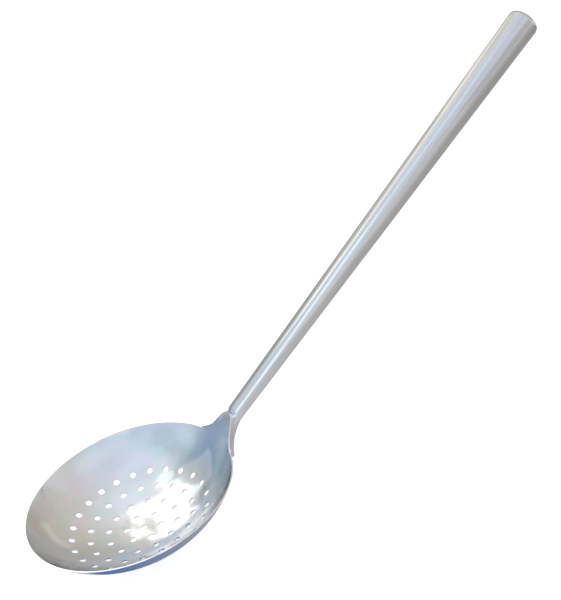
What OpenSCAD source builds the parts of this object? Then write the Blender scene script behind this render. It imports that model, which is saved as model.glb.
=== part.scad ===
// Perforated skimmer: a round pressed bowl with punched holes and a hollow tapered handle.
// Millimetres. The origin is the centre of the flat underside of the bowl, +Z goes up through
// the bowl's mouth and the handle runs towards +X.

/* [Bowl] */
// Inside diameter of the bowl at its rim
bowl_d = 160; // [130:1:200]
// Inside depth from the rim to the flat bottom
bowl_depth = 36.4; // [28:0.1:48]
// Thickness of the sheet that the bowl is pressed from
sheet_t = 1; // [0.8:0.1:2]
// Diameter of the flat that the bowl rests on
seat_d = 18; // [12:1:26]
// Slope of the shallow crown where it meets the wall
crown_angle = 24; // [18:1:28]
// Slope of the wall at the rim
rim_angle = 58; // [52:1:68]

/* [Holes] */
// Diameter of each punched hole
hole_d = 5; // [3:0.5:7]
// Distance between rings, measured along the sheet
hole_pitch = 13.8; // [11:0.1:15]
// Number of rings round the centre hole
hole_rings = 4; // [1:1:4]
// Turn of each ring about the bowl's axis, innermost first
ring_turn = [27.7, 26.9, 6.8, 11.3]; // [0:0.1:60]

/* [Ear] */
// Height of the ear's tip above the rim
ear_h = 17; // [12:0.5:20]
// Radius of the ear's rounded tip
ear_tip_r = 10; // [8:0.5:11]
// Lean of the ear's two flanks from upright
ear_lean = 39; // [34:1:44]
// Radius where each flank runs out into the rim
ear_fillet_r = 10; // [6:1:16]
// Radius of the ear's outward bend
ear_bend_r = 85; // [60:5:140]

/* [Handle] */
// Rise of the handle above level
handle_tilt = 29.5; // [26:0.5:32]
// Height of the handle's axis above the rim, at the rim
handle_rise = 2.6; // [1:0.1:6]
// Reach of the handle along its axis, from the rim to its end
handle_reach = 409.5; // [300:0.5:480]
// Outside diameter at the neck, where the tube is still round
neck_d = 14.1; // [13:0.1:16]
// Outside diameter at the far end
end_d = 26.3; // [20:0.1:32]
// Thickness of the tube's wall
tube_t = 1; // [0.7:0.1:1.4]
// Length of the saddle's round neck above the ear's tip
saddle_neck_l = 15; // [10:1:30]
// Length over which the neck is rounded down to the ear's tip
saddle_brow_l = 4; // [2:0.5:8]
// Distance below the ear's tip where the saddle starts to spread
saddle_start = 3; // [0:0.5:8]
// How far the saddle spreads past the ear on each side
saddle_spread = 2; // [1:0.1:4]
// How late the saddle spreads, where 1 is a straight flare
saddle_flare = 1.7; // [1:0.1:2.4]
// Depth of the saddle's underside at its foot, as a share of the neck's radius
saddle_deep = 1.2; // [0.8:0.05:1.4]
// Diameter of the blind bore in the saddle's neck
saddle_bore_d = 8; // [6:0.5:9]
// Depth of that bore
saddle_bore_l = 9; // [5:0.5:9.5]

/* [End cap] */
// Length of the cap's straight skirt and shoulder
cap_l = 12; // [9:0.5:18]
// Radius of the cap's rounded shoulder
cap_shoulder_r = 5.2; // [3:0.1:6]
// Height of the cap's shallow dome
cap_dome = 1.2; // [0.6:0.1:2]

/* [Welds] */
// Width of each weld bead
bead_w = 1.2; // [1:0.1:2]
// Depth of the seam and cap beads
bead_depth = 0.6; // [0.4:0.1:0.65]

/* [Hidden] */
$fn = 96;

// Bowl profile: a flat seat, a crown arc and a steeper wall arc, each tangent to the next
bowl_r = bowl_d / 2;
seat_r = seat_d / 2;
hole_r = hole_d / 2;
rim_z = sheet_t + bowl_depth;
arc_run = bowl_r - seat_r;
arc_det = sin(crown_angle) * (cos(crown_angle) - cos(rim_angle))
    - (sin(rim_angle) - sin(crown_angle)) * (1 - cos(crown_angle));
crown_r = (arc_run * (cos(crown_angle) - cos(rim_angle))
    - bowl_depth * (sin(rim_angle) - sin(crown_angle))) / arc_det;
wall_r = (bowl_depth * sin(crown_angle) - arc_run * (1 - cos(crown_angle))) / arc_det;
crown_c = [seat_r, sheet_t + crown_r];
wall_c = crown_c + (crown_r - wall_r) * [sin(crown_angle), -cos(crown_angle)];

// The ear carries on from the rim and bends outward about a centre on the outside
ear_c = [bowl_r, rim_z] + ear_bend_r * [sin(rim_angle), -cos(rim_angle)];
ear_tip_angle = acos((ear_h - ear_c[1] + rim_z) / ear_bend_r);
ear_tip_x = ear_c[0] - ear_bend_r * sin(ear_tip_angle);
ear_tip_z = rim_z + ear_h;
ear_over = 3;

// The ear's outline, seen along the handle: a round tip, two leaning flanks, two fillets
ear_tip_up = ear_h - ear_tip_r;
ear_foot = ear_tip_r * cos(ear_lean) + (ear_tip_up + ear_tip_r * sin(ear_lean)) * tan(ear_lean);
ear_run = ear_fillet_r * tan(45 - ear_lean / 2);

// Handle frame: T runs along the tube from the rim, N is square to it, in the XZ plane
tube_origin = [bowl_r, rim_z + handle_rise];
function along(x, z) = (x - tube_origin[0]) * cos(handle_tilt) + (z - tube_origin[1]) * sin(handle_tilt);
function across(x, z) = (z - tube_origin[1]) * cos(handle_tilt) - (x - tube_origin[0]) * sin(handle_tilt);
tip_t = along(ear_tip_x, ear_tip_z);
tip_n = across(ear_tip_x, ear_tip_z);
round_t = tip_t + saddle_neck_l;
cap_t = handle_reach - cap_dome - cap_l;
neck_r = neck_d / 2;
taper = (end_d / 2 - neck_r) / (handle_reach - round_t);
function tube_r(t) = neck_r + taper * (t - round_t);

// The saddle narrows from its spread foot on the rim to the round neck under the tube
foot_t = -11;
foot_n = 1.2;
foot_full = 1.05;
foot_square = 2;
stations = 14;
section_sides = 36;
foot_w = ear_foot + ear_run + saddle_spread;
foot_rim_t = along(bowl_r, rim_z) - saddle_spread;
spread_t = tip_t - saddle_start;
function ramp(v) = max(0, min(1, v));
function smooth(v) = ramp(v) * ramp(v) * (3 - 2 * ramp(v));
function flare(t) = max(0, (spread_t - t) / (spread_t - foot_rim_t));
foot_round = foot_full * (foot_rim_t - foot_t);
function half_w(t) = t > foot_rim_t
    ? tube_r(t) + (foot_w - tube_r(t)) * pow(flare(t), saddle_flare)
    : foot_w * sqrt(1 - pow((foot_rim_t - t) / foot_round, 2));
function low_n(t) = -tube_r(t) * (1 + (saddle_deep - 1) * ramp((tip_t - t) / (tip_t - foot_t)));
function high_n(t) = t > tip_t
    ? tube_r(t) - (tube_r(tip_t) - tip_n) * smooth(1 - (t - tip_t) / saddle_brow_l)
    : max(tip_n, low_n(t) + foot_n);
function squareness(t) = 2 + foot_square * ramp((tip_t - t) / (tip_t / 3));

// The bead round the ear fills most of the step at the ear's edge
bead_rise = 1;
bead_stations = 8;

clear = 1;
lap_angle = 0.02;
wide = 2 * (bowl_d + ear_bend_r);

// Signed power, for the rounded sections of the saddle
function spow(v, e) = sign(v) * pow(abs(v), e);

// One ring of points square to the handle's axis, written in the bowl's frame
function ring(t, w, mid, h, p) = [for (i = [0:section_sides - 1])
    let (a = 360 * (i + 0.5) / section_sides,
        y = w * spow(cos(a), 2 / p),
        n = mid + h * spow(sin(a), 2 / p))
    [tube_origin[0] + t * cos(handle_tilt) - n * sin(handle_tilt), y,
        tube_origin[1] + t * sin(handle_tilt) + n * cos(handle_tilt)]];

// A closed skin over rings that each have the same number of points
module loft(rings) {
    sides = len(rings[0]);
    last = len(rings) - 1;
    points = [for (r = rings, p = r) p];
    walls = [for (k = [0:last - 1], i = [0:sides - 1])
        let (j = (i + 1) % sides)
        each [[k * sides + i, k * sides + j, (k + 1) * sides + i],
            [k * sides + j, (k + 1) * sides + j, (k + 1) * sides + i]]];
    start = [[for (i = [sides - 1:-1:0]) i]];
    finish = [[for (i = [0:sides - 1]) last * sides + i]];
    polyhedron(points, concat(start, walls, finish));
}

// Stretch of a flat ring between two slopes, measured from straight down, run on by a small lap
module arc_band(centre, r_in, r_out, from, to) {
    reach = 2 * r_out;
    end = to + lap_angle;
    translate(centre) intersection() {
        difference() {
            circle(r_out);
            circle(r_in);
        }
        polygon([[0, 0], reach * [sin(from), -cos(from)], reach * [sin(end), -cos(end)]]);
    }
}

// Half section of the sheet, from the bowl's axis out over the rim to above the ear's tip
module sheet_profile() {
    ear_top = acos((ear_h + ear_over - ear_c[1] + rim_z) / ear_bend_r);
    square([seat_r, sheet_t]);
    arc_band(crown_c, crown_r, crown_r + sheet_t, 0, crown_angle);
    arc_band(wall_c, wall_r, wall_r + sheet_t, crown_angle, rim_angle);
    arc_band(ear_c, ear_bend_r - sheet_t, ear_bend_r, 180 + ear_top, 180 + rim_angle);
}

// Outline of the ear above the rim, drawn in the YZ plane with the rim at zero
module ear_outline() {
    tangent = [ear_tip_r * cos(ear_lean), ear_tip_up + ear_tip_r * sin(ear_lean)];
    rise = ear_run * [-sin(ear_lean), cos(ear_lean)];
    inside = ear_foot + rise[0] - clear;
    translate([0, ear_tip_up]) circle(ear_tip_r);
    polygon([[-ear_foot, 0], [ear_foot, 0], tangent, [-tangent[0], tangent[1]]]);
    for (side = [0, 1]) mirror([side, 0]) difference() {
        polygon([[inside, 0], [ear_foot + ear_run, 0], [ear_foot, 0] + rise, [inside, rise[1]]]);
        translate([ear_foot + ear_run, ear_fillet_r]) circle(ear_fillet_r);
    }
}

module ear_prism() {
    translate([0, 0, rim_z]) rotate([90, 0, 90]) linear_extrude(wide) ear_outline();
}

// Everything above the rim that isn't the ear
module trim() {
    difference() {
        translate([-wide / 2, -wide / 2, rim_z]) cube([wide, wide, 2 * ear_h]);
        ear_prism();
    }
}

// The space inside the sheet's outer face, from below the saddle's foot up to the ear's tip
module rim_space() {
    depth = foot_n - 2 * foot_t;
    inset = 2 * depth;
    split_z = rim_z - sheet_t * cos(rim_angle);
    rotate_extrude() {
        intersection() {
            translate(wall_c) circle(wall_r + sheet_t);
            translate([bowl_r - inset, split_z - depth]) square([2 * inset, depth]);
        }
        difference() {
            translate([bowl_r - inset, split_z]) square([2 * inset, ear_tip_z - split_z]);
            translate(ear_c) circle(ear_bend_r - sheet_t);
        }
    }
}

// Angle of the sheet at a distance along it from the centre, and the matching point inside it
crown_end = seat_r + crown_r * crown_angle * PI / 180;
function sheet_angle(s) = s < seat_r ? 0
    : s < crown_end ? (s - seat_r) / crown_r * 180 / PI
    : crown_angle + (s - crown_end) / wall_r * 180 / PI;
function sheet_point(s) = s < seat_r ? [s, sheet_t]
    : s < crown_end ? crown_c + crown_r * [sin(sheet_angle(s)), -cos(sheet_angle(s))]
    : wall_c + wall_r * [sin(sheet_angle(s)), -cos(sheet_angle(s))];

// Rings of six, twelve, eighteen and more holes, each square to the sheet
module holes() {
    translate([0, 0, -clear]) cylinder(h = sheet_t + 2 * clear, r = hole_r);
    for (k = [1:hole_rings], i = [0:6 * k - 1]) {
        s = hole_pitch * k;
        p = sheet_point(s);
        rotate(ring_turn[k - 1] + 360 * i / (6 * k)) translate([p[0], 0, p[1]])
            rotate([0, -sheet_angle(s), 0]) translate([0, 0, -sheet_t - clear])
            cylinder(h = sheet_t + 2 * clear, r = hole_r);
    }
}

// Puts a shape that is drawn round Z onto the handle's axis
module on_handle(t = 0) {
    translate([tube_origin[0], 0, tube_origin[1]]) rotate([0, 90 - handle_tilt, 0])
        translate([0, 0, t]) children();
}

module tube_cone(from, to, inset = 0) {
    on_handle(from) cylinder(h = to - from, r1 = tube_r(from) - inset, r2 = tube_r(to) - inset);
}

// The groove along the tube's underside, cut from the outside, and the seam that fills it
module seam_groove() {
    from = round_t + bead_w + clear / 2;
    to = cap_t - bead_w - clear / 2;
    difference() {
        on_handle(from) translate([0, -bead_w / 2, 0]) cube([end_d, bead_w, to - from]);
        tube_cone(from - clear, to + clear, bead_depth);
    }
}

module seam_strip() {
    intersection() {
        tube_cone(round_t, cap_t);
        seam_groove();
    }
}

// The V-shaped ring that a butt weld round the tube fills, and the wider cut for it
module butt_ring(t) {
    on_handle(t) rotate_extrude() polygon([
        [tube_r(t) - bead_depth, 0],
        [tube_r(t - bead_w / 2), -bead_w / 2],
        [tube_r(t + bead_w / 2), bead_w / 2]]);
}

module butt_groove(t) {
    low = tube_r(t - bead_w / 2);
    high = tube_r(t + bead_w / 2);
    root = tube_r(t) - bead_depth;
    on_handle(t) rotate_extrude() polygon([
        [root, 0],
        [root + 2 * (low - root), -bead_w],
        [root + 2 * (high - root), bead_w]]);
}

// Half section of the cap: a tapered skirt, a round shoulder and a dome tangent to it
module cap_profile(inset = 0) {
    r = tube_r(cap_t + cap_l) - cap_shoulder_r;
    up = cap_l - cap_shoulder_r;
    dome_r = (r * r + pow(cap_dome + cap_shoulder_r, 2) - pow(cap_shoulder_r, 2)) / (2 * cap_dome);
    open = inset > 0 ? clear : 0;
    polygon([[0, -open], [tube_r(cap_t) - inset, -open], [r + cap_shoulder_r - inset, up], [0, up]]);
    translate([r, up]) circle(cap_shoulder_r - inset);
    intersection() {
        translate([0, cap_l + cap_dome - dome_r]) circle(dome_r - inset);
        square([r * dome_r / (dome_r - cap_shoulder_r), cap_l + cap_dome]);
    }
}

module saddle_body() {
    loft([for (k = [0:stations])
        let (t = round_t + (foot_t - round_t) * k / stations)
        ring(t, half_w(t), (high_n(t) + low_n(t)) / 2, (high_n(t) - low_n(t)) / 2,
            squareness(t))]);
}

module bowl() {
    color("lightsteelblue") difference() {
        rotate_extrude() sheet_profile();
        trim();
        holes();
    }
}

// The saddle sits on the back of the ear and the outside of the rim
module neck_saddle() {
    color("silver") difference() {
        saddle_body();
        rim_space();
        on_handle(round_t - saddle_bore_l) cylinder(h = saddle_neck_l, r = saddle_bore_d / 2);
        butt_groove(round_t);
    }
}

module handle_tube() {
    color("silver") difference() {
        tube_cone(round_t, cap_t);
        tube_cone(round_t - clear, cap_t + clear, tube_t);
        seam_groove();
        butt_groove(round_t);
        butt_groove(cap_t);
    }
}

module end_cap() {
    color("darkgray") difference() {
        on_handle(cap_t) rotate_extrude() difference() {
            cap_profile();
            cap_profile(tube_t);
        }
        butt_groove(cap_t);
    }
}

// A three-sided bead along each straight flank of the ear, down on the saddle behind it
function on_ear(y, z, depth) =
    let (r = ear_c[0] - sqrt(pow(ear_bend_r - sheet_t + depth, 2) - pow(z - ear_c[1], 2)))
    [sqrt(r * r - y * y), y, z];

module ear_weld() {
    low = ear_run * cos(ear_lean);
    high = ear_tip_up + ear_tip_r * sin(ear_lean);
    color("gainsboro") for (side = [0, 1]) mirror([0, side, 0])
        loft([for (k = [0:bead_stations])
            let (z = low + (high - low) * k / bead_stations,
                y = ear_foot - z * tan(ear_lean))
            [on_ear(y, rim_z + z, 0), on_ear(y, rim_z + z, bead_rise),
                on_ear(y + bead_w * cos(ear_lean), rim_z + z + bead_w * sin(ear_lean), 0)]]);
}

module neck_weld() {
    color("gainsboro") butt_ring(round_t);
}

module cap_weld() {
    color("gainsboro") butt_ring(cap_t);
}

module seam_weld() {
    color("gainsboro") seam_strip();
}

bowl();
neck_saddle();
handle_tube();
end_cap();
ear_weld();
neck_weld();
cap_weld();
seam_weld();
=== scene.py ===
from math import acos, atan2, asin, ceil, cos, hypot, pi, radians, sin, sqrt, tan

import bmesh
import bpy
from mathutils import Matrix, Vector
from mathutils.geometry import delaunay_2d_cdt


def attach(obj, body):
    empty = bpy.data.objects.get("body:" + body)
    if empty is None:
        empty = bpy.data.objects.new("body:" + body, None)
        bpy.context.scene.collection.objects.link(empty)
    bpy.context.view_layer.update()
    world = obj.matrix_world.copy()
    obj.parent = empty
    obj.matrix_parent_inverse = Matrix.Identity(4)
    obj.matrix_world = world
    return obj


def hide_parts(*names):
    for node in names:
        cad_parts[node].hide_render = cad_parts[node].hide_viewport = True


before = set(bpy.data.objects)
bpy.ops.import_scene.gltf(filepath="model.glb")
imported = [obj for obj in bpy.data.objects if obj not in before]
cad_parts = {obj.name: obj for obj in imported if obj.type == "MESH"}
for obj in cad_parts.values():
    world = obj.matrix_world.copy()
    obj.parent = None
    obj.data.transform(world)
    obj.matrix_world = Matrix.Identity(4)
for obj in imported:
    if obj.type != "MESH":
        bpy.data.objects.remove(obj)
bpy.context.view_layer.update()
mm = 0.001


# Bowl: one disc of stainless sheet, pressed to a shallow dish with a steeper wall. A tongue of the
# same sheet, the ear, carries on above the rim and bends outward to meet the handle. The holes are
# punched in rings round a centre hole, and every cut edge is rounded over in polishing.
sheet_t = 1 * mm
seat_r = 9 * mm
bowl_r = 80 * mm
bowl_depth = 36.4 * mm
rim_z = sheet_t + bowl_depth
crown_slope = radians(24)
rim_slope = radians(58)
run_cos = cos(crown_slope) - cos(rim_slope)
run_sin = sin(rim_slope) - sin(crown_slope)
pair = sin(crown_slope) * run_cos - run_sin * (1 - cos(crown_slope))
crown_r = ((bowl_r - seat_r) * run_cos - bowl_depth * run_sin) / pair
wall_r = (bowl_depth * sin(crown_slope) - (bowl_r - seat_r) * (1 - cos(crown_slope))) / pair
wall_c = (seat_r + (crown_r - wall_r) * sin(crown_slope),
          sheet_t + crown_r - (crown_r - wall_r) * cos(crown_slope))
crown_end = seat_r + crown_r * crown_slope
rim_s = crown_end + wall_r * (rim_slope - crown_slope)

ear_bend_r = 85 * mm
ear_c = (bowl_r + ear_bend_r * sin(rim_slope), rim_z - ear_bend_r * cos(rim_slope))
ear_h = 17 * mm
ear_tip_r = 10 * mm
ear_fillet_r = 10 * mm
ear_lean = radians(39)
ear_tip_up = ear_h - ear_tip_r
ear_flank_top = ear_tip_up + ear_tip_r * sin(ear_lean)
ear_foot = ear_tip_r * cos(ear_lean) + ear_flank_top * tan(ear_lean)
ear_run = ear_fillet_r * tan(pi / 4 - ear_lean / 2)

hole_r = 2.5 * mm
hole_pitch = 13.8 * mm
ring_turn = [radians(turn) for turn in (27.7, 26.9, 6.8, 11.3)]
hole_sides = 40
mesh_step = 1.4 * mm


def sheet_slope(s):
    """Slope of the sheet at a distance s along it from the bowl's centre."""
    if s < seat_r:
        return 0
    if s < crown_end:
        return (s - seat_r) / crown_r
    if s < rim_s:
        return crown_slope + (s - crown_end) / wall_r
    return rim_slope - (s - rim_s) / ear_bend_r


def sheet_point(s, turn, out=0.0):
    """A point of the sheet, out from its inner face, turned about the bowl's axis."""
    slope = sheet_slope(s)
    if s < seat_r:
        r, z = s, sheet_t
    elif s < crown_end:
        r, z = seat_r + crown_r * sin(slope), sheet_t + crown_r * (1 - cos(slope))
    elif s < rim_s:
        r, z = wall_c[0] + wall_r * sin(slope), wall_c[1] - wall_r * cos(slope)
    else:
        r, z = ear_c[0] - ear_bend_r * sin(slope), ear_c[1] + ear_bend_r * cos(slope)
    r, z = r + out * sin(slope), z - out * cos(slope)
    return Vector((r * cos(turn), r * sin(turn), z))


def back_r(z):
    """Radius of the sheet's outer face at a height near the rim or on the ear."""
    if z < rim_z - sheet_t * cos(rim_slope):
        return wall_c[0] + sqrt((wall_r + sheet_t) ** 2 - (z - wall_c[1]) ** 2)
    return ear_c[0] - sqrt((ear_bend_r - sheet_t) ** 2 - (z - ear_c[1]) ** 2)


def ear_half_width(up):
    """Half the ear's width at a height above the rim: fillet, leaning flank, round tip."""
    if up < ear_run * cos(ear_lean):
        return ear_foot + ear_run - sqrt(ear_fillet_r ** 2 - (ear_fillet_r - up) ** 2)
    if up < ear_flank_top:
        return ear_foot - up * tan(ear_lean)
    return sqrt(max(0, ear_tip_r ** 2 - (up - ear_tip_up) ** 2))


def ear_s(up):
    """Distance along the sheet at a height above the rim."""
    return rim_s + ear_bend_r * (rim_slope - acos((rim_z + up - ear_c[1]) / ear_bend_r))


def flat(s, turn):
    return Vector((s * cos(turn), s * sin(turn)))


def ear_edge(y, up):
    """A point of the ear's outline, laid flat."""
    s = ear_s(up)
    return flat(s, asin(y / hypot(*sheet_point(s, 0).xy)))


def bowl_outline():
    """The blank's outline, laid flat: the rim, then up one flank of the ear and down the other."""
    half = asin((ear_foot + ear_run) / bowl_r)
    count = ceil((2 * pi - 2 * half) * rim_s / mesh_step)
    rim = [flat(rim_s, half + (2 * pi - 2 * half) * i / count) for i in range(count + 1)]
    steps = 20
    flank = [(ear_half_width(up), up)
             for up in (ear_flank_top * i / steps for i in range(1, steps + 1))]
    tip = [(ear_tip_r * sin(a), ear_tip_up + ear_tip_r * cos(a))
           for a in ((pi / 2 - ear_lean) * i / steps for i in range(steps))]
    near = [ear_edge(-y, up) for y, up in flank] + [ear_edge(-y, up) for y, up in reversed(tip)]
    far = [ear_edge(y, up) for y, up in tip[1:]] + [ear_edge(y, up) for y, up in reversed(flank)]
    return rim + near + far


def hole_centres():
    yield 0, 0
    for ring, turn in enumerate(ring_turn, start=1):
        for i in range(6 * ring):
            yield hole_pitch * ring, turn + 2 * pi * i / (6 * ring)


def hole_loop(s, turn, r):
    """A circle of radius r on the sheet round a hole's centre, laid flat."""
    if s == 0:
        return [flat(r, 2 * pi * i / hole_sides) for i in range(hole_sides)]
    across = hypot(*sheet_point(s, 0).xy)
    return [flat(s + r * cos(a), turn + r * sin(a) / across)
            for a in (2 * pi * i / hole_sides for i in range(hole_sides))]


def on_sheet(point, out=0.0):
    return sheet_point(point.length, atan2(point.y, point.x), out)


def bowl_mesh():
    """The pressed sheet, triangulated flat with its holes and then laid on the bowl's curve."""
    holes = [hole_loop(s, turn, hole_r) for s, turn in hole_centres()]
    centres = [sheet_point(s, turn) for s, turn in hole_centres()]
    outline = bowl_outline()
    points, loops = [], []
    for loop in [outline] + holes:
        loops.append(list(range(len(points), len(points) + len(loop))))
        points += loop
    for s, turn in hole_centres():
        points += hole_loop(s, turn, hole_r + 0.5 * mm)
    rings = ceil((ear_s(ear_h) - mesh_step / 2) / mesh_step)
    for k in range(2, rings):
        s = k * mesh_step
        count = round(2 * pi * k)
        for i in range(count):
            turn = 2 * pi * (i + k % 2 / 2) / count
            place = sheet_point(s, turn)
            if s > rim_s - mesh_step / 2:
                up = place.z - rim_z
                if place.x < 0 or up < -mesh_step / 2 \
                        or abs(place.y) > ear_half_width(max(0, up)) - mesh_step / 2:
                    continue
            if min((place - c).length for c in centres) > hole_r + 1.1 * mm:
                points.append(flat(s, turn))
    flat_points, _, faces, *_ = delaunay_2d_cdt(points, [], loops, 1, 1e-7)
    mesh = bmesh.new()
    inner = [mesh.verts.new(on_sheet(p)) for p in flat_points]
    outer = [mesh.verts.new(on_sheet(p, sheet_t)) for p in flat_points]
    for face in faces:
        middle = sum((inner[i].co for i in face), Vector()) / 3
        if min((middle - c).length for c in centres) > hole_r * 0.98:
            mesh.faces.new([inner[i] for i in face])
            mesh.faces.new([outer[i] for i in reversed(face)])
    for edge in [e for e in mesh.edges if e.is_boundary]:
        edge.tag = True
    low = {v: o for v, o in zip(inner, outer)}
    for edge in [e for e in mesh.edges if e.tag and e.verts[0] in low]:
        a, b = edge.verts
        if hypot(a.co.x, a.co.y) > bowl_r - 0.01 * mm:
            for v in (a, b):
                wide = back_r(v.co.z) / hypot(v.co.x, v.co.y)
                low[v].co = (v.co.x * wide, v.co.y * wide, v.co.z)
        mesh.faces.new([a, b, low[b], low[a]])
    bmesh.ops.delete(mesh, geom=[v for v in mesh.verts if not v.link_faces], context="VERTS")
    bmesh.ops.recalc_face_normals(mesh, faces=mesh.faces)
    return mesh


def make_piece(name, mesh, place=Matrix.Identity(4)):
    """A smooth-shaded piece from mesh code that was drawn at the origin of a place."""
    data = bpy.data.meshes.new(name)
    mesh.transform(place)
    mesh.to_mesh(data)
    mesh.free()
    data.polygons.foreach_set("use_smooth", [True] * len(data.polygons))
    piece = bpy.data.objects.new(name, data)
    bpy.context.scene.collection.objects.link(piece)
    return piece


def round_edges(piece, width, steps=3, angle=40):
    """Rounds a piece's sharp edges, as polishing does."""
    bevel = piece.modifiers.new("rounded edges", "BEVEL")
    bevel.width, bevel.segments = width, steps
    bevel.limit_method, bevel.angle_limit = "ANGLE", radians(angle)
    bevel.harden_normals = True


def add_node(material, kind, inputs=(), **settings):
    """A shader node with its settings, and with its inputs set or linked."""
    node = material.node_tree.nodes.new(kind)
    for name, value in settings.items():
        setattr(node, name, value)
    for name, value in dict(inputs).items():
        if isinstance(value, bpy.types.NodeSocket):
            material.node_tree.links.new(value, node.inputs[name])
        else:
            node.inputs[name].default_value = value
    return node


def steel(name, tints, polish, satin, along, marks, depth, streaks, wave, wave_depth):
    """Satin stainless steel. tints are the colours it drifts between, and polish and satin the
    range of its roughness. marks gives the size of the polishing marks along the three coordinates
    that along(material) makes, depth how deep they are, and streaks the size of the drifts in
    colour. wave is the length of the slow waves that forming left, and wave_depth their depth."""
    material = bpy.data.materials.new(name)
    material.use_nodes = True
    surface = material.node_tree.nodes["Principled BSDF"]
    surface.inputs["Metallic"].default_value = 1
    laid = along(material)
    scaled = add_node(material, "ShaderNodeVectorMath",
                      {0: laid, 1: [1 / size for size in marks]}, operation="MULTIPLY")
    lines = add_node(material, "ShaderNodeTexNoise",
                     {"Vector": scaled.outputs["Vector"], "Scale": 1, "Detail": 3})
    spread = add_node(material, "ShaderNodeVectorMath",
                      {0: laid, 1: [1 / size for size in streaks]}, operation="MULTIPLY")
    drift = add_node(material, "ShaderNodeTexNoise",
                     {"Vector": spread.outputs["Vector"], "Scale": 1, "Detail": 3,
                      "Roughness": 0.55, "Distortion": 0.6})
    tint = add_node(material, "ShaderNodeValToRGB", {"Fac": drift.outputs["Fac"]})
    stops = tint.color_ramp.elements
    while len(stops) < len(tints):
        stops.new(0.5)
    for i, colour in enumerate(tints):
        stops[i].position, stops[i].color = 0.35 + 0.3 * i / (len(tints) - 1), (*colour, 1)
    place = add_node(material, "ShaderNodeTexCoord").outputs["Object"]
    rough = add_node(material, "ShaderNodeMapRange",
                     {"Value": lines.outputs["Fac"], "From Min": 0.3, "From Max": 0.7,
                      "To Min": polish, "To Max": satin})
    waves = add_node(material, "ShaderNodeTexNoise",
                     {"Vector": place, "Scale": 1 / wave, "Detail": 1, "Roughness": 0.4})
    wavy = add_node(material, "ShaderNodeBump",
                    {"Height": waves.outputs["Fac"], "Strength": 1, "Distance": wave_depth})
    bump = add_node(material, "ShaderNodeBump",
                    {"Height": lines.outputs["Fac"], "Strength": 1, "Distance": depth,
                     "Normal": wavy.outputs["Normal"]})
    for socket, value in (("Base Color", tint.outputs["Color"]),
                          ("Roughness", rough.outputs["Result"]),
                          ("Normal", bump.outputs["Normal"])):
        material.node_tree.links.new(value, surface.inputs[socket])
    return material


def round_bowl(material):
    """Distance from the bowl's axis, angle about it in parts of the rim, and height."""
    place = add_node(material, "ShaderNodeTexCoord").outputs["Object"]
    flattened = add_node(material, "ShaderNodeVectorMath", {0: place, 1: (1, 1, 0)},
                         operation="MULTIPLY")
    reach = add_node(material, "ShaderNodeVectorMath", {0: flattened.outputs["Vector"]},
                     operation="LENGTH")
    ends = add_node(material, "ShaderNodeSeparateXYZ", {"Vector": place})
    angle = add_node(material, "ShaderNodeMath", {0: ends.outputs["Y"], 1: ends.outputs["X"]},
                     operation="ARCTAN2")
    rim_run = add_node(material, "ShaderNodeMath", {0: angle.outputs[0], 1: bowl_r},
                       operation="MULTIPLY")
    return add_node(material, "ShaderNodeCombineXYZ",
                    {"X": reach.outputs["Value"], "Y": rim_run.outputs[0],
                     "Z": ends.outputs["Z"]}).outputs["Vector"]


def ear_painted_reflection(material):
    """Warms the steel's colour towards the ear's tip, a painted reflection that tones down the blue the tip
    reflects.
    """
    surface = material.node_tree.nodes["Principled BSDF"]
    steel_colour = surface.inputs["Base Color"].links[0].from_socket
    ends = add_node(material, "ShaderNodeSeparateXYZ",
                    {"Vector": add_node(material, "ShaderNodeTexCoord").outputs["Object"]})
    amount = add_node(material, "ShaderNodeMapRange",
                      {"Value": ends.outputs["Z"], "From Min": rim_z + 3 * mm,
                       "From Max": rim_z + ear_h}, interpolation_type="SMOOTHSTEP")
    warm = add_node(material, "ShaderNodeVectorMath",
                    {0: amount.outputs["Result"], 1: (0.02, -0.09, -0.21), 2: (1, 1, 1)},
                    operation="MULTIPLY_ADD")
    painted_reflection_tint = add_node(material, "ShaderNodeVectorMath",
                      {0: steel_colour, 1: warm.outputs["Vector"]}, operation="MULTIPLY")
    material.node_tree.links.new(painted_reflection_tint.outputs["Vector"], surface.inputs["Base Color"])


bowl_steel = steel("bowl_steel", [(0.62, 0.68, 0.68), (0.67, 0.68, 0.69), (0.70, 0.67, 0.72)],
                   0.11, 0.18, round_bowl, (0.5 * mm, 12 * mm, 0.5 * mm), 0.0015 * mm,
                   (9 * mm, 26 * mm, 9 * mm), 16 * mm, 0.4 * mm)
# Painted reflection: the ear's colour turns warmer towards its tip.
ear_painted_reflection(bowl_steel)
bowl = make_piece("bowl_shell", bowl_mesh())
round_edges(bowl, 0.25 * mm)
bowl.data.materials.append(bowl_steel)
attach(bowl, "root")
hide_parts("bowl")


# Neck saddle: a short steel neck whose end is spread and dished to lie on the back of the ear and
# the outside of the rim. It is ground and polished smooth, and carries the handle's tube.
handle_tilt = radians(29.5)
handle_rise = 2.6 * mm
handle_at = Vector((bowl_r, 0, rim_z + handle_rise))
handle_reach = 409.5 * mm
neck_r = 7.05 * mm
end_r = 13.15 * mm
handle_frame = Matrix.Translation(handle_at) @ Matrix.Rotation(pi / 2 - handle_tilt, 4, "Y")
ear_tip = sheet_point(ear_s(ear_h), 0)
tip_along = (ear_tip.x - handle_at.x) * cos(handle_tilt) + (ear_tip.z - handle_at.z) * sin(handle_tilt)
tip_above = (ear_tip.z - handle_at.z) * cos(handle_tilt) - (ear_tip.x - handle_at.x) * sin(handle_tilt)
round_at = tip_along + 15 * mm
saddle_brow = 4 * mm
saddle_start = 3 * mm
saddle_spread = 2 * mm
saddle_flare = 1.7
saddle_deep = 1.2
saddle_foot = -11 * mm
saddle_foot_above = 1.2 * mm
saddle_half = ear_foot + ear_run + saddle_spread
saddle_rim_at = -handle_rise * sin(handle_tilt) - saddle_spread
spread_at = tip_along - saddle_start
saddle_stations = 90
saddle_sides = 72
bead_w = 1.2 * mm
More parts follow.
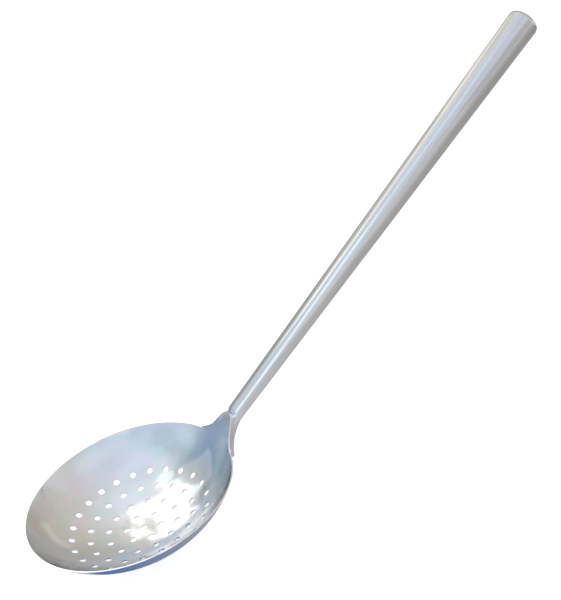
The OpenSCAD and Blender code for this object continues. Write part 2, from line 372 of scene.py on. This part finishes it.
bead_depth = 0.6 * mm


def ramp(value):
    return max(0, min(1, value))


def tube_r(along):
    return neck_r + (end_r - neck_r) * (along - round_at) / (handle_reach - round_at)


def saddle_width(along):
    if along > saddle_rim_at:
        flare = max(0, (spread_at - along) / (spread_at - saddle_rim_at))
        return tube_r(along) + (saddle_half - tube_r(along)) * flare ** saddle_flare
    return saddle_half * sqrt(1 - ((saddle_rim_at - along) / (1.05 * (saddle_rim_at - saddle_foot))) ** 2)


def saddle_low(along):
    part = ramp((tip_along - along) / (tip_along - saddle_foot))
    return -tube_r(along) * (1 + (saddle_deep - 1) * part)


def saddle_top(along):
    if along > tip_along:
        part = ramp(1 - (along - tip_along) / saddle_brow)
        return tube_r(along) - (tube_r(tip_along) - tip_above) * part * part * (3 - 2 * part)
    return max(tip_above, saddle_low(along) + saddle_foot_above)


def signed_power(value, power):
    return abs(value) ** power * (1 if value >= 0 else -1)


def saddle_mesh():
    """Sections square to the handle, round at the neck and squarer where they spread. The first is
    the neck's end, chamfered for the weld."""
    mesh = bmesh.new()
    rings = []
    full = round_at - bead_w / 2
    stations = [full + (saddle_foot - full) * k / saddle_stations for k in range(saddle_stations + 1)]
    for along in [round_at] + stations:
        inset = bead_depth if along == round_at else 0
        top, low = saddle_top(along) - inset, saddle_low(along) + inset
        squareness = 2 + 2 * ramp((tip_along - along) / (tip_along / 3))
        ring = []
        for i in range(saddle_sides):
            a = 2 * pi * (i + 0.5) / saddle_sides
            across = (saddle_width(along) - inset) * signed_power(cos(a), 2 / squareness)
            above = (top + low) / 2 + (top - low) / 2 * signed_power(sin(a), 2 / squareness)
            ring.append(mesh.verts.new(handle_frame @ Vector((-above, across, along))))
        rings.append(ring)
    for a, b in zip(rings, rings[1:]):
        for i in range(saddle_sides):
            j = (i + 1) % saddle_sides
            mesh.faces.new([a[i], a[j], b[j], b[i]])
    mesh.faces.new(rings[0])
    mesh.faces.new(rings[-1])
    bmesh.ops.recalc_face_normals(mesh, faces=mesh.faces)
    return mesh


def lathe(profile, sides, closed=True):
    """A ring or a solid of revolution about Z from points (radius, height)."""
    mesh = bmesh.new()
    rings = []
    for r, z in profile:
        if r < 1e-6:
            rings.append([mesh.verts.new((0, 0, z))] * sides)
        else:
            rings.append([mesh.verts.new((r * cos(2 * pi * i / sides), r * sin(2 * pi * i / sides), z))
                          for i in range(sides)])
    for a, b in zip(rings, rings[1:] + (rings[:1] if closed else [])):
        for i in range(sides):
            j = (i + 1) % sides
            corners = list(dict.fromkeys([a[i], a[j], b[j], b[i]]))
            if len(corners) > 2:
                mesh.faces.new(corners)
    bmesh.ops.recalc_face_normals(mesh, faces=mesh.faces)
    return mesh


def cut_away(piece, tool):
    """Takes the tool's space out of a piece for good."""
    cut = piece.modifiers.new("cut", "BOOLEAN")
    cut.object, cut.solver = tool, "EXACT"
    bpy.context.view_layer.update()
    done = bpy.data.meshes.new_from_object(piece.evaluated_get(bpy.context.evaluated_depsgraph_get()))
    piece.modifiers.remove(cut)
    piece.data = done
    bpy.data.objects.remove(tool)


sheet_low = rim_z - 16 * mm
sheet_high = rim_z + ear_h + 0.2 * mm
back_steps = 60
back_heights = [sheet_low + (sheet_high - sheet_low) * i / back_steps for i in range(back_steps + 1)]
saddle = make_piece("neck_saddle_body", saddle_mesh())
cut_away(saddle, make_piece("sheet_space", lathe(
    [(back_r(z), z) for z in back_heights] + [(bowl_r / 2, sheet_high), (bowl_r / 2, sheet_low)], 720)))
round_edges(saddle, 0.2 * mm, 2, 35)


def along_handle(material):
    """Place across and along the handle."""
    place = add_node(material, "ShaderNodeTexCoord").outputs["Object"]
    return add_node(material, "ShaderNodeMapping",
                    {"Vector": place, "Location": handle_at,
                     "Rotation": (0, pi / 2 - handle_tilt, 0)}, vector_type="TEXTURE").outputs["Vector"]


handle_steel = steel("handle_steel", [(0.575, 0.56, 0.54), (0.605, 0.60, 0.59), (0.64, 0.635, 0.625)],
                     0.16, 0.25, along_handle, (0.4 * mm, 0.4 * mm, 30 * mm), 0.002 * mm,
                     (2.5 * mm, 2.5 * mm, 70 * mm), 30 * mm, 0.15 * mm)
saddle.data.materials.clear()
saddle.data.materials.append(handle_steel)
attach(saddle, "root")
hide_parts("neck_saddle")


# Handle tube: thin stainless sheet rolled into a long taper and welded along its underside, where
# the seam is ground flush. It is hollow, and butts on the saddle's neck and on the end cap.
tube_t = 1 * mm
tube_sides = 128
tube_steps = 80
cap_skirt = 12 * mm
cap_dome = 1.2 * mm
cap_at = handle_reach - cap_dome - cap_skirt
tube_stations = [round_at + bead_w / 2 + (cap_at - round_at - bead_w) * i / tube_steps
                 for i in range(tube_steps + 1)]
tube = make_piece("handle_tube_wall", lathe(
    [(tube_r(round_at) - bead_depth, round_at)] + [(tube_r(z), z) for z in tube_stations]
    + [(tube_r(cap_at) - bead_depth, cap_at), (tube_r(cap_at) - tube_t, cap_at),
       (tube_r(round_at) - tube_t, round_at)], tube_sides), handle_frame)
round_edges(tube, 0.15 * mm, 2)
tube.data.materials.append(handle_steel)
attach(tube, "root")
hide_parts("handle_tube")


# End cap: a pressed steel cup with a rounded shoulder and a shallow domed top, welded on the thick
# end of the tube and polished over with it.
cap_shoulder_r = 5.2 * mm
cap_r = tube_r(cap_at + cap_skirt)
dome_foot = cap_r - cap_shoulder_r
dome_r = (dome_foot ** 2 + (cap_dome + cap_shoulder_r) ** 2 - cap_shoulder_r ** 2) / (2 * cap_dome)
dome_edge = asin(dome_foot / (dome_r - cap_shoulder_r))


def cap_profile(inset):
    """The cup's skin, set in from its outside, from the skirt's edge up to the middle of the dome."""
    up = cap_skirt - cap_shoulder_r
    steps = 16
    skirt = [(tube_r(cap_at) - inset, 0)]
    shoulder = [(dome_foot + (cap_shoulder_r - inset) * cos(a), up + (cap_shoulder_r - inset) * sin(a))
                for a in ((pi / 2 - dome_edge) * i / steps for i in range(steps + 1))]
    middle = cap_skirt + cap_dome - dome_r
    dome = [((dome_r - inset) * sin(a), middle + (dome_r - inset) * cos(a))
            for a in (dome_edge * (1 - i / steps) for i in range(1, steps + 1))]
    return skirt + shoulder + dome


cap_chamfer = [(tube_r(cap_at) - bead_depth, 0), (tube_r(cap_at + bead_w / 2), bead_w / 2)]
cap = make_piece("end_cap_cup",
                 lathe(cap_chamfer + cap_profile(0)[1:] + cap_profile(tube_t)[::-1], tube_sides),
                 handle_frame @ Matrix.Translation((0, 0, cap_at)))
round_edges(cap, 0.15 * mm, 2)
cap.data.materials.append(handle_steel)
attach(cap, "root")
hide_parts("end_cap")


# Welds: thin beads of stainless filler at the ear's flanks, round both ends of the tube and along
# its underside, all ground down and polished until little more than a change of grain is left.
weld_steel = steel("weld_steel", [(0.58, 0.565, 0.55), (0.615, 0.61, 0.60)], 0.20, 0.30,
                   along_handle, (0.6 * mm, 0.6 * mm, 0.6 * mm), 0.003 * mm,
                   (2 * mm, 2 * mm, 2 * mm), 5 * mm, 0.02 * mm)
ear_bead_r = 0.75 * mm
ear_bead_in = 0.85 * mm
bead_lap = 0.2 * mm
bead_high = 0.02 * mm
seam_gap = 1.7 * mm


def ring_bead(along):
    """The bead in the groove round the handle, ground nearly flush and lapping the groove's edges."""
    half = bead_w / 2 + bead_lap
    face = [(tube_r(along + half * u) + up, along + half * u)
            for u, up in ((-1, -0.1 * mm), (-0.97, bead_high), (-0.9, bead_high),
                          (0.9, bead_high), (0.97, bead_high), (1, -0.1 * mm))]
    return lathe([(tube_r(along) - bead_depth, along)] + face, tube_sides)


def seam_bead():
    """The bead along the tube's underside, ground almost flush."""
    mesh = bmesh.new()
    rings = []
    for z in [z for z in tube_stations if round_at + seam_gap < z < cap_at - seam_gap]:
        r = tube_r(z)
        rings.append([mesh.verts.new((r + up, across * bead_w / 2, z)) for up, across in
                      ((-bead_depth, 0.8), (-0.06 * mm, 1), (0, 0.5), (bead_high, 0),
                       (0, -0.5), (-0.06 * mm, -1), (-bead_depth, -0.8))])
    for a, b in zip(rings, rings[1:]):
        for i in range(len(a)):
            j = (i + 1) % len(a)
            mesh.faces.new([a[i], a[j], b[j], b[i]])
    mesh.faces.new(rings[0])
    mesh.faces.new(rings[-1])
    bmesh.ops.recalc_face_normals(mesh, faces=mesh.faces)
    return mesh


def ear_beads():
    """A bead up each flank of the ear and round its shoulder, tapering out at both ends."""
    mesh = bmesh.new()
    low, steps = ear_run * cos(ear_lean), 24
    way = [(ear_half_width(low + (ear_flank_top - low) * i / steps),
            low + (ear_flank_top - low) * i / steps) for i in range(steps)]
    way += [(ear_tip_r * sin(a), ear_tip_up + ear_tip_r * cos(a))
            for a in (pi / 2 - ear_lean - (pi / 2 - ear_lean - radians(18)) * i / steps
                      for i in range(steps + 1))]
    for side in (-1, 1):
        line = []
        for y, up in way:
            s = ear_s(up)
            turn = side * asin(y / hypot(*sheet_point(s, 0).xy))
            line.append((sheet_point(s, turn, ear_bead_in), sheet_point(s, turn, sheet_t)))
        rings = []
        for i, (middle, back) in enumerate(line):
            tangent = (line[min(i + 1, len(line) - 1)][0] - line[max(i - 1, 0)][0]).normalized()
            out = (back - middle).normalized()
            aside = tangent.cross(out)
            r = ear_bead_r * max(0.1, sin(pi * i / (len(line) - 1))) ** 0.5
            rings.append([mesh.verts.new(middle + out * (r * cos(a)) + aside * (r * sin(a)))
                          for a in (2 * pi * k / 14 for k in range(14))])
        for a, b in zip(rings, rings[1:]):
            for k in range(14):
                mesh.faces.new([a[k], a[(k + 1) % 14], b[(k + 1) % 14], b[k]])
        mesh.faces.new(rings[0])
        mesh.faces.new(rings[-1])
    bmesh.ops.recalc_face_normals(mesh, faces=mesh.faces)
    return mesh


ear_bead = make_piece("ear_weld_bead", ear_beads())
neck_bead = make_piece("neck_weld_bead", ring_bead(round_at), handle_frame)
cap_bead = make_piece("cap_weld_bead", ring_bead(cap_at), handle_frame)
seam_strip = make_piece("seam_weld_bead", seam_bead(), handle_frame)
for bead, node in ((ear_bead, "ear_weld"), (neck_bead, "neck_weld"), (cap_bead, "cap_weld"),
                   (seam_strip, "seam_weld")):
    bead.data.materials.append(weld_steel)
    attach(bead, "root")
    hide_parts(node)


# Studio: a white table top, soft room light that is bluer on one side and warmer on the other, a
# tall window behind the bowl that draws the bright patch in it, and cards, seen only in the steel,
# that paint shade and colour into what it reflects of the table.
table_half = 6
table = make_piece("table_top", bmesh.new())
table_mesh = bmesh.new()
bmesh.ops.create_grid(table_mesh, x_segments=8, y_segments=8, size=table_half)
table_mesh.to_mesh(table.data)
table.location.z = -0.1 * mm
table_white = bpy.data.materials.new("table_white")
table_white.use_nodes = True
top = table_white.node_tree.nodes["Principled BSDF"]
top.inputs["Base Color"].default_value = (0.82, 0.82, 0.82, 1)
top.inputs["Roughness"].default_value = 0.9
paths = add_node(table_white, "ShaderNodeLightPath")
in_steel = add_node(table_white, "ShaderNodeMath",
                    {0: paths.outputs["Is Glossy Ray"], 1: paths.outputs["Is Transmission Ray"]},
                    operation="MAXIMUM")
in_steel = add_node(table_white, "ShaderNodeMath", {0: in_steel.outputs[0], 1: 0.2},
                    operation="MULTIPLY")
glow = add_node(table_white, "ShaderNodeMath",
                {0: paths.outputs["Is Camera Ray"], 1: 0.7, 2: in_steel.outputs[0]},
                operation="MULTIPLY_ADD")
top.inputs["Emission Color"].default_value = (1, 1, 1, 1)
table_white.node_tree.links.new(glow.outputs[0], top.inputs["Emission Strength"])
table.data.materials.append(table_white)

room = bpy.data.worlds.new("room")
bpy.context.scene.world = room
room.use_nodes = True
background = room.node_tree.nodes["Background"]
direction = add_node(room, "ShaderNodeTexCoord").outputs["Generated"]


def towards(azimuth, elevation):
    """Unit vector at an azimuth from +X and an elevation, in degrees."""
    a, e = radians(azimuth), radians(elevation)
    return Vector((cos(a) * cos(e), sin(a) * cos(e), sin(e)))


def room_patch(under, azimuth, elevation, near, far, colour):
    """Adds a soft patch of light to the room, or of shade where its colour is below zero. It is
    full within near degrees of its middle and gone at far."""
    facing = add_node(room, "ShaderNodeVectorMath",
                      {0: direction, 1: towards(azimuth, elevation)}, operation="DOT_PRODUCT")
    amount = add_node(room, "ShaderNodeMapRange",
                      {"Value": facing.outputs["Value"], "From Min": cos(radians(far)),
                       "From Max": cos(radians(near))}, interpolation_type="SMOOTHSTEP")
    return add_node(room, "ShaderNodeVectorMath",
                    {0: amount.outputs["Result"], 1: colour, 2: under},
                    operation="MULTIPLY_ADD").outputs["Vector"]


walls = (1.08, 1.17, 1.30)
for azimuth, elevation, near, far, colour in (
        (106, 39, 1, 33, (0.03, -0.07, -0.24)),
        (91, 1, 8, 22, (-0.26, -0.34, -0.49)),
        (-89, 59, 0, 39, (0.26, 0.34, 0.47)),
        (31, 52, 0, 45, (0.19, 0.19, 0.17)),
        (-61, 37, 19, 67, (-0.22, -0.34, -0.47)),
        (37, 17, 0, 60, (-0.53, -0.67, -0.86)),
        (212, -20, 25, 123, (-0.37, -0.31, -0.26)),
        (123, 7, 1, 46, (-0.53, -0.52, -0.52)),
        (158, 58, 7, 14, (0.16, 0.13, 0.16)),
        (-114, 15, 0, 27, (0.36, 0.40, 0.38)),
        (161, 74, 9, 30, (0.09, 0.10, 0.09)),
        (-47, 81, 0, 46, (-0.22, -0.25, -0.27)),
        (153, 49, 0, 24, (-0.23, -0.22, -0.31)),
        (-169, 38, 0, 17, (-0.12, -0.10, -0.16)),
        (121, 37, 5, 34, (-0.23, -0.22, -0.20))):
    walls = room_patch(walls, azimuth, elevation, near, far, colour)
room.node_tree.links.new(walls, background.inputs["Color"])


def lamp(name, azimuth, elevation, distance, wide, tall, strength):
    """A soft white lamp that faces the bowl and lights nothing else. wide and tall are in degrees
    as the bowl sees them, and strength is how bright it looks, 1 being white."""
    light = bpy.data.lights.new(name, "AREA")
    light.shape = "RECTANGLE"
    light.size = 2 * distance * tan(radians(wide / 2))
    light.size_y = 2 * distance * tan(radians(tall / 2))
    light.energy = strength * pi * light.size * light.size_y
    thing = bpy.data.objects.new(name, light)
    bpy.context.scene.collection.objects.link(thing)
    back = towards(azimuth, elevation)
    thing.location = back * distance
    thing.rotation_mode = "QUATERNION"
    thing.rotation_quaternion = back.to_track_quat("Z", "Y")
    thing.light_linking.receiver_collection = bowl_only


def only(name, pieces):
    """A collection that limits a lamp to some of the pieces."""
    group = bpy.data.collections.new(name)
    for piece in pieces:
        group.objects.link(piece)
    return group


def strip_lamp(name, start, end, wide, colour):
    """A long soft lamp beside the handle that draws a bright line along it and lights nothing
    else. colour is how bright it looks."""
    start, end = Vector(start), Vector(end)
    light = bpy.data.lights.new(name, "AREA")
    light.shape = "RECTANGLE"
    light.size, light.size_y = (end - start).length, wide
    light.color = colour
    light.energy = pi * light.size * light.size_y
    thing = bpy.data.objects.new(name, light)
    bpy.context.scene.collection.objects.link(thing)
    middle = (start + end) / 2
    nearest = handle_at + handle_frame.col[2].xyz * (middle - handle_at).dot(handle_frame.col[2].xyz)
    x = (end - start).normalized()
    back = middle - nearest
    back = (back - x * back.dot(x)).normalized()
    thing.matrix_world = Matrix.Translation(middle) @ Matrix((x, back.cross(x), back)).transposed().to_4x4()
    thing.visible_camera = False
    thing.light_linking.receiver_collection = handle_only


bowl_only = only("bowl_only", [bowl])
handle_only = only("handle_only", [saddle, tube, cap, ear_bead, neck_bead, cap_bead])
lamp("window", 96.5, 42, 1.2, 26, 29, 0.95)
lamp("window_low", 90, 20, 1.2, 14, 24, 1.1)
lamp("window_top", 122, 61, 1.2, 14, 8, 0.7)
lamp("window_side", 123, 33, 1.2, 24, 34, 0.26)
lamp("door", 38, 20, 1.2, 26, 7, 0.17)
strip_lamp("strip_near", (-0.11, -0.33, 0.20), (0.033, -0.30, 0.325), 0.16, (0.55, 0.62, 0.63))
strip_lamp("strip_middle", (0.031, -0.279, 0.341), (0.115, -0.144, 0.484), 0.10, (0.66, 0.72, 0.70))
strip_lamp("strip_far", (0.115, -0.144, 0.484), (0.30, -0.135, 0.575), 0.08, (0.26, 0.32, 0.34))
strip_lamp("strip_low", (0.14, -0.39, 0.14), (0.42, -0.39, 0.30), 0.15, (0.20, 0.17, 0.14))
strip_lamp("line_near", (-0.03, 0.035, 0.435), (0.132, 0.181, 0.473), 0.11, (0.80, 0.74, 0.64))
strip_lamp("line_middle", (0.132, 0.181, 0.473), (0.283, 0.25, 0.493), 0.11, (0.48, 0.44, 0.38))
strip_lamp("line_far", (0.283, 0.25, 0.493), (0.50, 0.37, 0.37), 0.10, (0.50, 0.45, 0.40))


def card(name, corner, far_corner, colours):
    """A matt card flat on the table that only the steel sees, painting shade and colour into what it
    reflects. Its colours run evenly along X."""
    mesh = bmesh.new()
    bmesh.ops.create_grid(mesh, x_segments=4, y_segments=4, size=0.5)
    middle = ((corner[0] + far_corner[0]) / 2, (corner[1] + far_corner[1]) / 2, 0)
    size = (far_corner[0] - corner[0], far_corner[1] - corner[1], 1)
    thing = make_piece(name, mesh, Matrix.LocRotScale(Vector(middle), None, Vector(size)))
    thing.visible_camera = thing.visible_diffuse = thing.visible_shadow = False
    matt = bpy.data.materials.new(name)
    matt.use_nodes = True
    surface = matt.node_tree.nodes["Principled BSDF"]
    surface.inputs["Roughness"].default_value = 1
    ends = add_node(matt, "ShaderNodeSeparateXYZ",
                    {"Vector": add_node(matt, "ShaderNodeTexCoord").outputs["Object"]})
    along = add_node(matt, "ShaderNodeMapRange",
                     {"Value": ends.outputs["X"], "From Min": corner[0], "From Max": far_corner[0]})
    paint = add_node(matt, "ShaderNodeValToRGB", {"Fac": along.outputs["Result"]})
    stops = paint.color_ramp.elements
    while len(stops) < len(colours):
        stops.new(0.5)
    for i, colour in enumerate(colours):
        stops[i].position, stops[i].color = i / (len(colours) - 1), (*colour, 1)
    matt.node_tree.links.new(paint.outputs["Color"], surface.inputs["Base Color"])
    thing.data.materials.append(matt)


# Painted shade: the grey and brown cards put the table's shade under the handle into the steel's
# reflections.
card("grey_shade_card", (0.12, -2.0), (1.42, -0.40),
     [(0.95, 0.93, 0.92), (0.86, 0.81, 0.77), (0.75, 0.69, 0.64), (0.68, 0.62, 0.57),
      (0.64, 0.58, 0.53), (0.64, 0.59, 0.54)])
card("brown_shade_card", (0.12, -0.40), (1.42, 0.10),
     [(0.95, 0.93, 0.92), (0.70, 0.65, 0.61), (0.60, 0.55, 0.51), (0.44, 0.40, 0.36),
      (0.42, 0.38, 0.34), (0.45, 0.41, 0.37)])
# Painted reflection: a blue one under the bowl's near wall.
card("blue_reflection_card", (-0.10, -0.16), (0.085, -0.03),
     [(0.29, 0.37, 0.66), (0.28, 0.38, 0.74), (0.55, 0.62, 0.84), (0.78, 0.76, 0.84), (0.84, 0.83, 0.82)])
# Painted reflection: a bluish grey one behind the bowl on the left.
card("far_reflection_card", (-5, 0.35), (-0.25, 5), [(0.46, 0.52, 0.62), (0.50, 0.55, 0.63)])

camera_at = Vector((-0.11416, -0.64937, 0.51253))
camera_aim = Vector((0.16277, 0, 0.12059))
camera_roll = radians(-16.82)
camera = bpy.data.objects.new("camera", bpy.data.cameras.new("camera"))
bpy.context.scene.collection.objects.link(camera)
camera.data.sensor_width = 36
camera.data.lens = 63.73
camera.location = camera_at
camera.rotation_mode = "QUATERNION"
camera.rotation_quaternion = ((camera_aim - camera_at).to_track_quat("-Z", "Y")
                              @ Matrix.Rotation(camera_roll, 3, "Z").to_quaternion())
bpy.context.scene.camera = camera
bpy.context.scene.view_settings.view_transform = "Standard"
